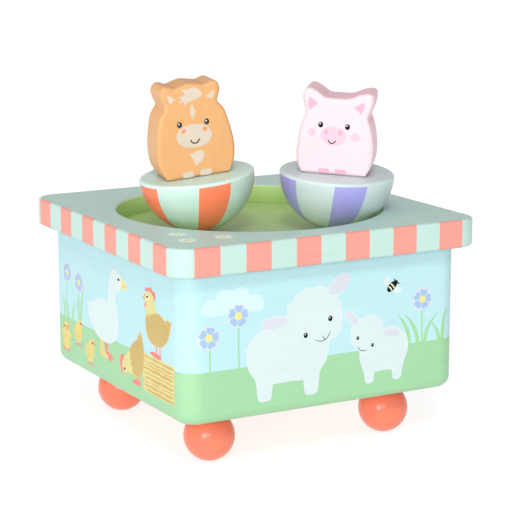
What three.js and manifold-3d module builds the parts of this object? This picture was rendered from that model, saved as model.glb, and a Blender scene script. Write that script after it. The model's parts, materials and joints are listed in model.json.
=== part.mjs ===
// Wind-up music box: a square wooden case on four ball feet, with a round dance floor
// in its lid and two wooden animals on half-ball bases, turned by magnets under the floor.
// Millimetres, +Z up, origin on the table under the middle of the case, front towards -Y.
import * as THREE from 'three'
import { mergeVertices } from 'three/addons/utils/BufferGeometryUtils.js'
import Module from 'manifold-3d'

const wasm = await Module()
wasm.setup()

// ---- driving dimensions ----
const GAP = 0.3               // clearance between touching pieces
const LID_SIDE = 110
const LID_TOP = 73.3
const LID_UNDER = 64.2
const LID_CORNER = 8
const LID_EDGE = 1
const BODY_SIDE = 100
const BODY_CORNER = 7
const BODY_EDGE = 4
const BODY_BOTTOM = 17
const BODY_TOP = LID_UNDER - GAP
const WALL = 8
const INNER = BODY_SIDE / 2 - WALL   // half width of the inside of the case
const PANEL = 5               // bottom panel thickness
const FOOT_R = 8.2
const FOOT_Z = 8.05           // height of the middle of a foot ball
const FOOT_AT = 32.5
const RECESS_R = 44
const FLOOR_R = 47
const FLOOR_TOP = 66.8
const FLOOR_THICK = 2.3
const BASE_R = 18.8           // radius of a half-ball base
const BASE_Z = FLOOR_TOP + GAP + BASE_R
const BASE_FLAT = 0.4         // top flat above the middle of the ball
const CUTOUT_THICK = 13
const HORSE = { at: [-20, -0.7], lean: [-0.117, -0.009], facing: -101.2 }
const PIG = { at: [21.8, -19.7], lean: [0.010, -0.086], facing: -128.7 }
const CUTOUT_SHIFT = -0.7     // both animals stand a little to one side of the dowel
// movement
const PLATE_Z = BODY_BOTTOM + PANEL + GAP
const PLATE_TOP = PLATE_Z + 2
const STAND_Z = PLATE_TOP + GAP
const BARREL_R = 13.5
const BARREL_Z = 25
const BARREL_TOP = 38.45      // top of the drum, under its crown teeth
const CROWN_TEETH = 36
const CROWN_R = 12
const SHAFT_Z = 43.4          // axis height of the pinned cylinder and governor shaft
const PINION_TEETH = 12
const CYL_R = 6.5
const CYL_X = [14.8, 34.8]
const GEAR_TEETH = 30
const GOV_TEETH = 10
const GOV_Y = 12              // distance between cylinder and governor shafts
const GEAR_X = [35.4, 37]
const WORM_WHEEL_TEETH = 16
const WORM_WHEEL_R = 4
const WORM_R = 1.5
const WORM_X = 27.8
const WORM_Y = GOV_Y + WORM_WHEEL_R + WORM_R
const CARRIER_Z = 57.6
const CARRIER_R = 37
const TAU = Math.PI * 2

// ---- colours ----
const WOOD = 0xd9b887, PALE_WOOD = 0xe7cfa4, SKY = 0xbfeaf0, CORAL = 0xf8876d, MINT = 0xcfeee0
const GREEN = 0xa9cf78, BRASS = 0xc9a353, STEEL = 0xb4b8bc, CAST = 0x8b8f92, MAGNET = 0x6f7276
const HORSE_COAT = 0xf3b87d, PIG_COAT = 0xfbeef3, PURPLE = 0x9c96d7

const group = new THREE.Group()

function solid(geometry) {
  const g = geometry.clone()
  g.deleteAttribute('normal')
  g.deleteAttribute('uv')
  const m = mergeVertices(g.index ? g.toNonIndexed() : g, 1e-4)
  return new wasm.Manifold(new wasm.Mesh({
    numProp: 3,
    vertProperties: new Float32Array(m.attributes.position.array),
    triVerts: new Uint32Array(m.index.array)
  }))
}

function part(name, body, color, roughness = 0.6, metalness = 0) {
  const mesh = body.getMesh()
  const g = new THREE.BufferGeometry()
  g.setAttribute('position', new THREE.BufferAttribute(new Float32Array(mesh.vertProperties), 3))
  g.setIndex(new THREE.BufferAttribute(new Uint32Array(mesh.triVerts), 1))
  g.computeVertexNormals()
  const node = new THREE.Mesh(g, new THREE.MeshStandardMaterial({ color, roughness, metalness }))
  node.name = name
  group.add(node)
}

// box given by its low and high corners
function box(lo, hi) {
  const g = new THREE.BoxGeometry(hi[0] - lo[0], hi[1] - lo[1], hi[2] - lo[2])
  return solid(g.translate((lo[0] + hi[0]) / 2, (lo[1] + hi[1]) / 2, (lo[2] + hi[2]) / 2))
}

// upright round bar from z0 to z1
function rod(x, y, z0, z1, r, sides = 32) {
  const g = new THREE.CylinderGeometry(r, r, z1 - z0, sides)
  return solid(g.rotateX(Math.PI / 2).translate(x, y, (z0 + z1) / 2))
}

// round bar lying along X from x0 to x1
function barX(x0, x1, y, z, r, sides = 24) {
  const g = new THREE.CylinderGeometry(r, r, x1 - x0, sides)
  return solid(g.rotateZ(Math.PI / 2).translate((x0 + x1) / 2, y, z))
}

// turned shape about Z from [radius, height] pairs that start and end on the axis
function turned(profile, x = 0, y = 0, sides = 48) {
  const g = new THREE.LatheGeometry(profile.map(p => new THREE.Vector2(p[0], p[1])), sides)
  return solid(g.rotateX(Math.PI / 2).translate(x, y, 0))
}

function roundedSquare(half, r) {
  const s = new THREE.Shape()
  s.moveTo(-half + r, -half)
  s.absarc(half - r, -half + r, r, -Math.PI / 2, 0)
  s.absarc(half - r, half - r, r, 0, Math.PI / 2)
  s.absarc(-half + r, half - r, r, Math.PI / 2, Math.PI)
  s.absarc(-half + r, -half + r, r, Math.PI, Math.PI * 1.5)
  return s
}

// plate with rounded corners and rounded edges, from z0 to z1
function roundedPlate(half, corner, edge, z0, z1) {
  const g = new THREE.ExtrudeGeometry(roundedSquare(half, corner), {
    depth: z1 - z0 - 2 * edge, bevelThickness: edge, bevelSize: edge, bevelOffset: -edge,
    bevelSegments: 3, curveSegments: 4
  })
  return solid(g.translate(0, 0, z0 + edge))
}

// outline of a spur gear with straight-sided teeth; tip and root are half-widths in pitches
function gearShape(teeth, rPitch, addendum, dedendum, tip = 0.13, root = 0.22) {
  const s = new THREE.Shape()
  const pitch = TAU / teeth
  for (let i = 0; i < teeth; i++) {
    const corners = [[-root, -dedendum], [-tip, addendum], [tip, addendum], [root, -dedendum]]
    corners.forEach(([a, h], k) => {
      const t = (i + a) * pitch
      const r = rPitch + h
      if (i + k === 0) s.moveTo(r * Math.cos(t), r * Math.sin(t))
      else s.lineTo(r * Math.cos(t), r * Math.sin(t))
    })
  }
  s.closePath()
  return s
}

// spur gear with its axis along X, first tooth at angle phase from +Y towards +Z
function gearX(x0, x1, y, z, shape, phase) {
  const g = new THREE.ExtrudeGeometry(shape, { depth: x1 - x0, bevelEnabled: false })
  g.rotateZ(phase)
  return solid(g.rotateY(Math.PI / 2).rotateX(Math.PI / 2).translate(x0, y, z))
}

// ---- case ----
const shell = roundedPlate(BODY_SIDE / 2, BODY_CORNER, BODY_EDGE, BODY_BOTTOM, BODY_TOP + 8)
  .subtract(box([-INNER, -INNER, 0], [INNER, INNER, 90]))
const dowelAt = [-30, 30]
const dowelY = BODY_SIDE / 2 - WALL / 2
function longWall(side) {
  const lo = side < 0 ? [-60, -60, 0] : [-60, INNER, 0]
  const hi = side < 0 ? [60, -INNER, BODY_TOP] : [60, 60, BODY_TOP]
  let wall = shell.intersect(box(lo, hi))
  for (const x of dowelAt) wall = wall.subtract(rod(x, side * dowelY, BODY_TOP - 7, BODY_TOP + 2, 2.8))
  return wall
}
function sideWall(side) {
  const end = INNER - GAP
  const lo = side < 0 ? [-60, -end, 0] : [INNER, -end, 0]
  const hi = side < 0 ? [-INNER, end, BODY_TOP] : [60, end, BODY_TOP]
  return shell.intersect(box(lo, hi))
}
part('front_wall', longWall(-1), SKY)
part('back_wall', longWall(1), SKY)
part('left_wall', sideWall(-1), SKY)
part('right_wall', sideWall(1), SKY)

let lid = roundedPlate(LID_SIDE / 2, LID_CORNER, LID_EDGE, LID_UNDER, LID_TOP)
  .subtract(rod(0, 0, 0, 90, RECESS_R, 64))
  .subtract(rod(0, 0, 0, FLOOR_TOP + GAP, FLOOR_R + GAP, 64))
for (const x of dowelAt) {
  for (const side of [-1, 1]) lid = lid.subtract(rod(x, side * dowelY, 60, LID_UNDER + 5.2, 2.8))
}
part('lid', lid, MINT)
part('dance_floor', rod(0, 0, FLOOR_TOP - FLOOR_THICK, FLOOR_TOP, FLOOR_R, 64), GREEN)
for (const [x, tagX] of [[-30, 'left'], [30, 'right']]) {
  for (const [side, tagY] of [[-1, 'front'], [1, 'back']]) {
    part(`lid_dowel_${tagY}_${tagX}`, rod(x, side * dowelY, BODY_TOP - 6.7, LID_UNDER + 4.9, 2.5, 20),
      PALE_WOOD)
  }
}

const corners = [[-1, -1, 'front_left'], [1, -1, 'front_right'], [-1, 1, 'back_left'], [1, 1, 'back_right']]
const PLATE_SCREWS = [[-16, -12], [-16, 12], [38, 0.5]]
const panelHalf = INNER - GAP
let panel = box([-panelHalf, -panelHalf, BODY_BOTTOM], [panelHalf, panelHalf, BODY_BOTTOM + PANEL])
  .subtract(rod(0, 0, 0, 40, 3.2))
for (const [x, y] of PLATE_SCREWS) panel = panel.subtract(rod(x, y, 0, 40, 1.3, 16))
for (const [sx, sy] of corners) panel = panel.subtract(rod(sx * FOOT_AT, sy * FOOT_AT, 0, 40, 3.3, 24))
part('bottom_panel', panel, WOOD)

for (const [sx, sy, tag] of corners) {
  const e = INNER - GAP
  const block = box([e - 8, e - 8, BODY_BOTTOM + PANEL + GAP], [e, e, BODY_TOP - 3])
    .subtract(rod(FOOT_AT, FOOT_AT, 0, 40, 3.3, 24))
  part(`corner_block_${tag}`, block.scale([sx, sy, 1]), PALE_WOOD)
}

// ball foot: a small flat to stand on, a short collar under the case, and a blind dowel bore
function footProfile() {
  const pts = [[0, 0]]
  const low = Math.asin(FOOT_Z / FOOT_R)
  for (let i = 0; i <= 10; i++) {
    const a = -low + i / 10 * (low + 1.02)
    pts.push([FOOT_R * Math.cos(a), FOOT_Z + FOOT_R * Math.sin(a)])
  }
  const top = BODY_BOTTOM - GAP
  pts.push([4.28, top], [3.3, top], [3.3, 8.7], [0, 8.7])
  return pts
}
for (const [sx, sy, tag] of corners) {
  part(`foot_${tag}`, turned(footProfile(), sx * FOOT_AT, sy * FOOT_AT, 22), CORAL)
  part(`foot_dowel_${tag}`, rod(sx * FOOT_AT, sy * FOOT_AT, 9, 25, 3, 24), PALE_WOOD)
}

// ---- movement: bedplate, spring barrel and key ----
let plate = box([-21, -29, PLATE_Z], [41, 23.5, PLATE_TOP]).subtract(rod(0, 0, 0, 40, 2))
for (const [x, y] of PLATE_SCREWS) plate = plate.subtract(rod(x, y, 0, 40, 1.3, 16))
part('bedplate', plate, CAST, 0.45, 0.9)
PLATE_SCREWS.forEach(([x, y], i) => {
  const profile = [[0, 15.3], [2.2, 15.3], [2.2, 16.7], [1, 16.7], [1, 24.2], [0, 24.2]]
  part(`plate_screw_${i + 1}`, turned(profile, x, y, 20), STEEL, 0.35, 1)
})

let barrel = turned([[0, BARREL_TOP - 1.2], [12.3, BARREL_TOP - 1.2], [12.3, BARREL_Z + 1.2],
  [1.9, BARREL_Z + 1.2], [1.9, BARREL_Z], [BARREL_R, BARREL_Z], [BARREL_R, BARREL_TOP],
  [2, BARREL_TOP], [2, CARRIER_Z - 0.6], [1.4, CARRIER_Z - 0.6], [1.4, CARRIER_Z + 2.8],
  [0, CARRIER_Z + 2.8]], 0, 0, 48)
const crownPitch = TAU * CROWN_R / CROWN_TEETH
for (let i = 0; i < CROWN_TEETH; i++) {
  const tooth = new THREE.Shape([[-0.24, -0.1], [0.24, -0.1], [0.11, 1.65], [-0.11, 1.65]]
    .map(([a, h]) => new THREE.Vector2(a * crownPitch, h)))
  const g = new THREE.ExtrudeGeometry(tooth, { depth: 2.4, bevelEnabled: false })
  g.rotateX(Math.PI / 2).rotateZ(Math.PI / 2).translate(CROWN_R - 1.2, 0, BARREL_TOP)
  barrel = barrel.add(solid(g.rotateZ((i + 0.5) * TAU / CROWN_TEETH)))
}
part('spring_barrel', barrel, BRASS, 0.35, 1)

function spiral() {
  const turns = 5
  const at = (t, extra) => {
    const r = 4.6 + 7 * t + extra
    return new THREE.Vector2(r * Math.cos(t * turns * TAU), r * Math.sin(t * turns * TAU))
  }
  const steps = 90
  const outline = []
  for (let i = 0; i <= steps; i++) outline.push(at(i / steps, 0))
  for (let i = steps; i >= 0; i--) outline.push(at(i / steps, 0.4))
  const g = new THREE.ExtrudeGeometry(new THREE.Shape(outline), { depth: 9, bevelEnabled: false })
  return solid(g.translate(0, 0, BARREL_Z + 1.8))
}
part('mainspring', spiral(), STEEL, 0.4, 1)
part('winding_arbor', turned([[0, 9], [1.5, 9], [1.5, BARREL_Z + 1.6], [3, BARREL_Z + 1.6],
  [3, BARREL_TOP - 2], [0, BARREL_TOP - 2]], 0, 0, 24), STEEL, 0.35, 1)

// butterfly winding key under the case
const KEY_Z = [5.5, 16.2]
const wingHeight = (KEY_Z[1] - KEY_Z[0]) / 2
let key = rod(0, 0, KEY_Z[0] + 1.5, KEY_Z[1], 3.2, 24)
for (const side of [-1, 1]) {
  const wing = new THREE.CylinderGeometry(wingHeight - 0.6, wingHeight - 0.6, 2, 28)
  wing.scale(1.15, 1, 1).translate(side * 7.2, 0, (KEY_Z[0] + KEY_Z[1]) / 2)
  key = key.add(solid(wing))
}
key = key.subtract(rod(0, 0, 8.7, 40, 1.8, 24))
part('winding_key', key, BRASS, 0.35, 1)

// bridge over the barrel: steadies the spindle and the inner end of the cylinder shaft
let bridge = box([-5, -17.5, 51], [9, 17.5, 53])
  .add(box([-5, -17.5, STAND_Z], [5, -15.7, 51.5])).add(box([-5, 15.7, STAND_Z], [5, 17.5, 51.5]))
  .add(box([6.8, -2.6, 41.2], [8.8, 2.6, 51.5]))
bridge = bridge.subtract(rod(0, 0, 45, 60, 2.4, 24)).subtract(barX(5, 10, 0, SHAFT_Z, 1.3))
part('barrel_bridge', bridge, CAST, 0.45, 0.9)

// ---- pinned cylinder and comb ----
const shaft = barX(6.2, 40.2, 0, SHAFT_Z, 1)
const pinion = gearShape(PINION_TEETH, CROWN_R * PINION_TEETH / CROWN_TEETH, 0.75, 0.95)
let cylinder = shaft.add(gearX(11, 13.2, 0, SHAFT_Z, pinion, 0))
  .add(barX(CYL_X[0], CYL_X[1], 0, SHAFT_Z, CYL_R, 36))
const PIN_TRACKS = 18
const TRACK = 1.08
const COMB_X = 15.4
for (let k = 0; k < PIN_TRACKS * 2; k++) {
  const x = COMB_X + 0.4 + (k % PIN_TRACKS) * TRACK
  const g = new THREE.CylinderGeometry(0.22, 0.22, 1.2, 4)
  g.translate(0, CYL_R + 0.1, 0).rotateX(k * 2.39996).translate(x, 0, SHAFT_Z)
  cylinder = cylinder.add(solid(g))
}
cylinder = cylinder.add(gearX(GEAR_X[0], GEAR_X[1], 0, SHAFT_Z,
  gearShape(GEAR_TEETH, 9, 0.5, 0.7), 0))
part('pinned_cylinder', cylinder, BRASS, 0.3, 1)

let comb = box([COMB_X - 0.6, -27, SHAFT_Z - 0.5], [COMB_X + PIN_TRACKS * TRACK - 0.4, -19.5, SHAFT_Z + 0.5])
for (let k = 0; k < PIN_TRACKS; k++) {
  const x = COMB_X + k * TRACK
  comb = comb.add(box([x, -20, SHAFT_Z - 0.35], [x + 0.8, -7.5, SHAFT_Z + 0.35]))
}
const combScrews = [19, 31]
let combBase = box([COMB_X - 0.6, -27, STAND_Z], [COMB_X + PIN_TRACKS * TRACK - 0.4, -20, SHAFT_Z - 0.8])
for (const x of combScrews) {
  comb = comb.subtract(rod(x, -23.5, 30, 60, 1.3, 16))
  combBase = combBase.subtract(rod(x, -23.5, 36, 60, 1.3, 16))
}
part('comb', comb, STEEL, 0.3, 1)
part('comb_base', combBase, CAST, 0.45, 0.9)
combScrews.forEach((x, i) => {
  const top = SHAFT_Z + 0.5 + GAP
  part(`comb_screw_${i + 1}`, turned([[0, 37], [1, 37], [1, top], [2, top], [2, top + 1.2], [0, top + 1.2]],
    x, -23.5, 20), STEEL, 0.35, 1)
})

// outer bracket for the cylinder and governor shafts
part('cylinder_bracket', box([37.8, -5, STAND_Z], [39.6, 16, 49]).subtract(barX(36, 41, 0, SHAFT_Z, 1.3))
  .subtract(barX(36, 41, GOV_Y, SHAFT_Z, 1)), CAST, 0.45, 0.9)

// ---- governor: wheel shaft, worm and air fan ----
let wheel = barX(20.4, 40.2, GOV_Y, SHAFT_Z, 0.7, 16)
  .add(gearX(GEAR_X[0], GEAR_X[1], GOV_Y, SHAFT_Z, gearShape(GOV_TEETH, 3, 0.5, 0.7, 0.11, 0.2),
    Math.PI / GOV_TEETH))
  .add(gearX(WORM_X - 0.6, WORM_X + 0.6, GOV_Y, SHAFT_Z,
    gearShape(WORM_WHEEL_TEETH, WORM_WHEEL_R, 0.4, 0.55, 0.1, 0.2), 0))
part('governor_wheel', wheel, BRASS, 0.35, 1)

const lead = TAU * WORM_WHEEL_R / WORM_WHEEL_TEETH
class Helix extends THREE.Curve {
  getPoint(t) {
    const turns = 4.5
    const a = t * turns * TAU
    return new THREE.Vector3(WORM_R * 0.86 * Math.cos(a), WORM_R * 0.86 * Math.sin(a),
      SHAFT_Z + (t - 0.5) * turns * lead)
  }
}
const thread = new THREE.Shape()
thread.absarc(0, 0, 0.34, 0, TAU)
let worm = solid(new THREE.ExtrudeGeometry(thread, { steps: 54, curveSegments: 3, bevelEnabled: false,
  extrudePath: new Helix() })).translate([WORM_X, WORM_Y, 0])
worm = worm.add(rod(WORM_X, WORM_Y, 36.4, 55, 0.6, 16)).add(rod(WORM_X, WORM_Y, 38.6, 48.2, 1.03, 16))
  .add(box([WORM_X - 6, WORM_Y - 0.4, 50.8], [WORM_X + 6, WORM_Y + 0.4, 56]))
part('governor_fan', worm, BRASS, 0.35, 1)

let frame = box([20, 20.6, STAND_Z], [36, 22.4, 50.2])
  .add(box([25.6, 15.6, 36], [30, 21, 37.5])).add(box([25.6, 15.6, 48.8], [30, 21, 50.2]))
  .add(box([20.8, 9.8, 41.2], [22.6, 21, 45.6]))
frame = frame.subtract(rod(WORM_X, WORM_Y, 30, 60, 0.9, 16)).subtract(barX(20, 24, GOV_Y, SHAFT_Z, 1))
part('governor_frame', frame, CAST, 0.45, 0.9)

// ---- magnet carrier under the dance floor ----
let carrier = rod(0, 0, CARRIER_Z + 0.6, CARRIER_Z + 2.6, CARRIER_R, 48)
  .add(rod(0, 0, CARRIER_Z - 0.3, CARRIER_Z + 1, 5, 32))
for (const f of [HORSE, PIG]) {
  carrier = carrier.add(rod(f.at[0], f.at[1], CARRIER_Z + 2, CARRIER_Z + 4.4, 1.5, 20))
}
carrier = carrier.subtract(rod(0, 0, 50, 80, 1.7, 24))
part('magnet_carrier', carrier, PALE_WOOD)

// ---- one animal: magnet cup and drive magnet below the floor, weighted half-ball above ----
function tilt(f) {
  const up = new THREE.Vector3(f.lean[0], f.lean[1], 1).normalize()
  const yaw = new THREE.Matrix4().makeRotationZ(THREE.MathUtils.degToRad(f.facing + 90))
  const m = new THREE.Matrix4().makeRotationFromQuaternion(
    new THREE.Quaternion().setFromUnitVectors(new THREE.Vector3(0, 0, 1), up)).multiply(yaw)
  return m.setPosition(f.at[0], f.at[1], BASE_Z)
}
const place = (body, m) => body.transform(m.elements)

function baseProfile() {
  const round = 1
  const pts = [[0, 5 - BASE_R], [4.3, 5 - BASE_R]]
  const start = -Math.acos(4.3 / BASE_R)
  const end = -Math.asin((round - BASE_FLAT) / BASE_R)
  for (let i = 0; i <= 10; i++) {
    const a = start + i / 10 * (end - start)
    pts.push([BASE_R * Math.cos(a), BASE_R * Math.sin(a)])
  }
  for (let i = 1; i <= 3; i++) {
    const a = i / 3 * Math.PI / 2
    pts.push([BASE_R - round + round * Math.cos(a), BASE_FLAT - round + round * Math.sin(a)])
  }
  pts.push([2.8, BASE_FLAT], [2.8, BASE_FLAT - 7], [0, BASE_FLAT - 7])
  return pts
}

// outlines of the animals seen from the front: [across, up from the base flat]
const HORSE_OUTLINE = [[0, 0], [9.3, 0], [10.9, 1], [12.1, 3.1], [12.75, 5.3], [13.05, 9.1], [12.8, 12],
  [12.1, 15.8], [11.3, 19.3], [10.4, 21.4], [8.9, 23.4], [9.2, 24.8], [9.8, 26.3], [10, 27.8], [9.4, 29.6],
  [7.8, 30.2], [5.2, 29.5], [3, 29.9], [0, 30.4], [-2.4, 30], [-4.8, 29.4], [-6.3, 30], [-8, 30.2],
  [-9.3, 29.2], [-9.8, 27.5], [-9.2, 25], [-8.8, 23.2], [-10.2, 21.3], [-11.2, 19.2], [-12, 15.8],
  [-12.7, 12], [-12.95, 9], [-12.7, 5.3], [-12, 3], [-10.9, 1], [-9.3, 0]]
const PIG_OUTLINE = [[0, 0], [9.4, 0], [11, 1.1], [12.1, 3.4], [12.55, 6.3], [12.4, 9.3], [11.5, 13.3],
  [10.5, 16.8], [10.2, 19.1], [11.2, 22.1], [11.65, 25], [11.2, 26.8], [9.4, 27.2], [6.8, 26.5],
  [4.7, 25.5], [2.5, 25], [0, 25], [-3.5, 25], [-5.3, 26], [-7.7, 27.4], [-9.6, 27.8], [-10.9, 26.8],
  [-11.3, 24.7], [-10.6, 21.9], [-10.1, 19.6], [-10.6, 16.7], [-11.4, 13.6], [-12.15, 10.1],
  [-12.45, 7.1], [-12.1, 3.3], [-11, 1.1], [-9.4, 0]]

function cutout(outline) {
  const pts = outline.map(p => new THREE.Vector2(p[0] + CUTOUT_SHIFT, p[1]))
  const edge = 1.2
  const g = new THREE.ExtrudeGeometry(new THREE.Shape(pts), {
    depth: CUTOUT_THICK - 2 * edge, bevelThickness: edge, bevelSize: edge, bevelOffset: -edge,
    bevelSegments: 2
  })
  g.translate(0, 0, -(CUTOUT_THICK / 2 - edge)).rotateX(Math.PI / 2)
  return solid(g.translate(0, 0, BASE_FLAT + GAP)).subtract(rod(0, 0, -5, BASE_FLAT + 6.3, 2.8, 24))
}

for (const [tag, f, outline, coat, stripe] of [['horse', HORSE, HORSE_OUTLINE, HORSE_COAT, CORAL],
  ['pig', PIG, PIG_OUTLINE, PIG_COAT, PURPLE]]) {
  const [x, y] = f.at
  const z = CARRIER_Z + 2.6
  part(`${tag}_magnet_cup`, turned([[0, z + 2.1], [1.8, z + 2.1], [1.8, z + GAP], [7.5, z + GAP],
    [7.5, z + 4.1], [5.3, z + 4.1], [5.3, z + 2.7], [0, z + 2.7]], x, y, 28), CAST, 0.6)
  part(`${tag}_drive_magnet`, rod(x, y, z + 2.8, z + 4.1, 5, 32), MAGNET, 0.3, 1)
  const m = tilt(f)
  part(`${tag}_base`, place(turned(baseProfile(), 0, 0, 30), m), stripe)
  part(`${tag}_base_magnet`, place(rod(0, 0, 0.8 - BASE_R, 4.7 - BASE_R, 4, 28), m), MAGNET, 0.3, 1)
  part(`${tag}_dowel`, place(rod(0, 0, BASE_FLAT - 6.7, BASE_FLAT + 6, 2.5, 20), m), PALE_WOOD)
  part(`${tag}_cutout`, place(cutout(outline), m), coat)
}

export default group
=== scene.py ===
"""Painted wooden wind-up music box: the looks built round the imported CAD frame."""
import json
from math import asin, atan2, copysign, cos, degrees, floor, hypot, pi, radians, sin, sqrt

import bmesh
import bpy
from mathutils import Matrix, Vector


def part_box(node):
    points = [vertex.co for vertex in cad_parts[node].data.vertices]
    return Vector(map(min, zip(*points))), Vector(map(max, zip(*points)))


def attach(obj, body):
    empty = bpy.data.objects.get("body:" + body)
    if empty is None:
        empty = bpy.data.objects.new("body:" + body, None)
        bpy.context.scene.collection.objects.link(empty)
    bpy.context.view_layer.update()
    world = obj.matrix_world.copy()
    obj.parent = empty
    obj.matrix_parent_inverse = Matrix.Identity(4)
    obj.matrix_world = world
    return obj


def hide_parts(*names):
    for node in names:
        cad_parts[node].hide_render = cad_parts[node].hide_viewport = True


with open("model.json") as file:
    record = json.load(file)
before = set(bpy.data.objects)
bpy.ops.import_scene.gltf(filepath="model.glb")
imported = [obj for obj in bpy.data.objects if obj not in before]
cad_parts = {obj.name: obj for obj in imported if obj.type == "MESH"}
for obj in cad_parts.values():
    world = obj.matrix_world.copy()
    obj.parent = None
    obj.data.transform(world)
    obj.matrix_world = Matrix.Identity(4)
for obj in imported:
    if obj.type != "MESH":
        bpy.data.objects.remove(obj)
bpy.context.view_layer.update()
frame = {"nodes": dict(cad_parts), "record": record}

MM = 0.001

# ---- sizes in millimetres, the CAD model's where it has them ----
LID_HALF, LID_CORNER, LID_EDGE = 55, 8, 0.9
LID_TOP, LID_UNDER = 73.3, 64.2
BODY_HALF, BODY_CORNER, BODY_EDGE, WALL = 50, 7, 3.7, 8.0
BODY_BOTTOM, BODY_TOP, BODY_BEVEL = 16.75, 63.9, 0.4
FOOT_R, FOOT_MID, FOOT_TOP, DOWEL_R = 8.2, 8.05, 16.75, 3.9
HORIZON = 33.7
RECESS_R, REBATE_R, FLOOR_TOP, RIM = 44, 47.3, 66.82, 0.8
BASE_R, BASE_FLAT, BASE_ROUND, MERIDIAN_STEPS = 18.8, 0.4, 1, 28
MAGNET_HOLE, MAGNET_DEPTH = 4.3, 5.0
CUTOUT_THICK, CUTOUT_ROUND, CUTOUT_FOOT = 13.8, 1.3, 0.45
ART_LEFT, ART_LOW = 20, 4.25      # where an animal's face drawing is read from, off the middle of its base
STRIPES, STRIPE = 11, 8.72
# each animal's lean, bearing, sideways shift on its base, and the axis that its gores run round
HORSE = {"lean": (-0.117, -0.009), "facing": -101.2, "shift": -0.95, "gore_axis": (-0.002, -0.022, 1),
         "art_shift": 0}
PIG = {"lean": (0.010, -0.086), "facing": -128.7, "shift": -0.5, "gore_axis": (0.110, -0.121, 1),
       "art_shift": 0.2}


# ---- materials

WHITE = (1, 1, 1, 1)


def lin(rgb):
    """sRGB 0 to 255 to linear RGBA."""
    values = [c / 255 for c in rgb]
    return tuple(v / 12.92 if v <= 0.04045 else ((v + 0.055) / 1.055) ** 2.4 for v in values) + (1,)


class Nodes:
    """Adds and links the nodes of one material or world, up to the shader at its end."""

    def __init__(self, owner, end="Principled BSDF"):
        owner.use_nodes = True
        self.owner, self.tree = owner, owner.node_tree
        self.end = self.tree.nodes[end]
        self.coord = self.add("ShaderNodeTexCoord")

    def add(self, kind, **values):
        node = self.tree.nodes.new(kind)
        for key, value in values.items():
            if hasattr(node, key):
                setattr(node, key, value)
            else:
                node.inputs[key.replace("_", " ")].default_value = value
        return node

    def link(self, a, b):
        self.tree.links.new(a, b)

    def feed(self, **values):
        """Links or sets inputs of the last node; an underscore in a name stands for a space."""
        for key, value in values.items():
            target = self.end.inputs[key.replace("_", " ")]
            if isinstance(value, bpy.types.NodeSocket):
                self.link(value, target)
            else:
                target.default_value = value

    def noise(self, scale, detail, stretch=(1, 1, 1), rough=0.5):
        mapping = self.add("ShaderNodeMapping")
        mapping.inputs["Scale"].default_value = stretch
        self.link(self.coord.outputs["Object"], mapping.inputs["Vector"])
        n = self.add("ShaderNodeTexNoise", Scale=scale, Detail=detail, Roughness=rough)
        self.link(mapping.outputs["Vector"], n.inputs["Vector"])
        return n.outputs["Fac"]

    def ramp(self, value, stops):
        r = self.add("ShaderNodeValToRGB")
        while len(r.color_ramp.elements) < len(stops):
            r.color_ramp.elements.new(0.5)
        for element, (at, colour) in zip(r.color_ramp.elements, stops):
            element.position = at
            element.color = colour
        self.link(value, r.inputs["Fac"])
        return r.outputs["Color"]

    def span(self, value, low, high):
        """Maps a noise, which keeps to about 0.3 to 0.7, to the values from low to high."""
        r = self.add("ShaderNodeMapRange", From_Min=0.3, From_Max=0.7, To_Min=low, To_Max=high)
        self.link(value, r.inputs["Value"])
        return r.outputs["Result"]

    def bump(self, value, strength, distance, normal=None):
        b = self.add("ShaderNodeBump", Strength=strength, Distance=distance)
        self.link(value, b.inputs["Height"])
        if normal is not None:
            self.link(normal, b.inputs["Normal"])
        return b.outputs["Normal"]

    def product(self, first, second, amount=1):
        """The first colour times the second, as much of it as amount says."""
        mix = self.add("ShaderNodeMix", data_type="RGBA", blend_type="MULTIPLY")
        mix.inputs[0].default_value = amount
        self.link(first, mix.inputs[6])
        self.link(second, mix.inputs[7])
        return mix.outputs[2]


def material(name):
    return Nodes(bpy.data.materials.new(name))


def shade(colour, k):
    return tuple(min(1, c * k) for c in colour[:3]) + (1,)


def paint(name, rgb, rough=0.4, grain=(1, 1, 14), tone=0.02, relief=0.14, coat=0, shine=0.35):
    """Opaque satin paint on wood: faint grain telegraphing through, soft brushing, mottled sheen."""
    m = material("paint_" + name)
    base = lin(rgb)
    wood = m.noise(55, 5, grain, 0.6)
    cloud = m.noise(38, 2)
    fine = m.bump(m.noise(900, 2), relief * 0.35, 0.00012)
    grained = m.ramp(wood, [(0.32, shade(base, 1 - tone)), (0.5, base), (0.68, shade(base, 1 + tone))])
    clouded = m.ramp(cloud, [(0.35, (1 - tone, 1 - tone * 0.8, 1 - tone * 0.8, 1)), (0.65, WHITE)])
    m.feed(Base_Color=m.product(grained, clouded), Normal=m.bump(wood, relief, 0.0003, fine),
           Roughness=m.span(m.noise(160, 3), rough - 0.05, rough + 0.07),
           Specular_IOR_Level=shine, Coat_Weight=coat, Coat_Roughness=0.2)
    return m.owner


def film(name, *rgb):
    """Paint of the pictures on the walls and the lid."""
    return paint(name, rgb, relief=0.2)


def marking(name, *rgb):
    """Paint of the animals' markings."""
    return paint(name, rgb, rough=0.45, relief=0.15)


def lacquer(name, rgb):
    """Glossier paint of the turned half balls."""
    return paint(name, rgb, rough=0.38, grain=(1, 1, 8), tone=0.035, coat=0.25)


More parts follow.
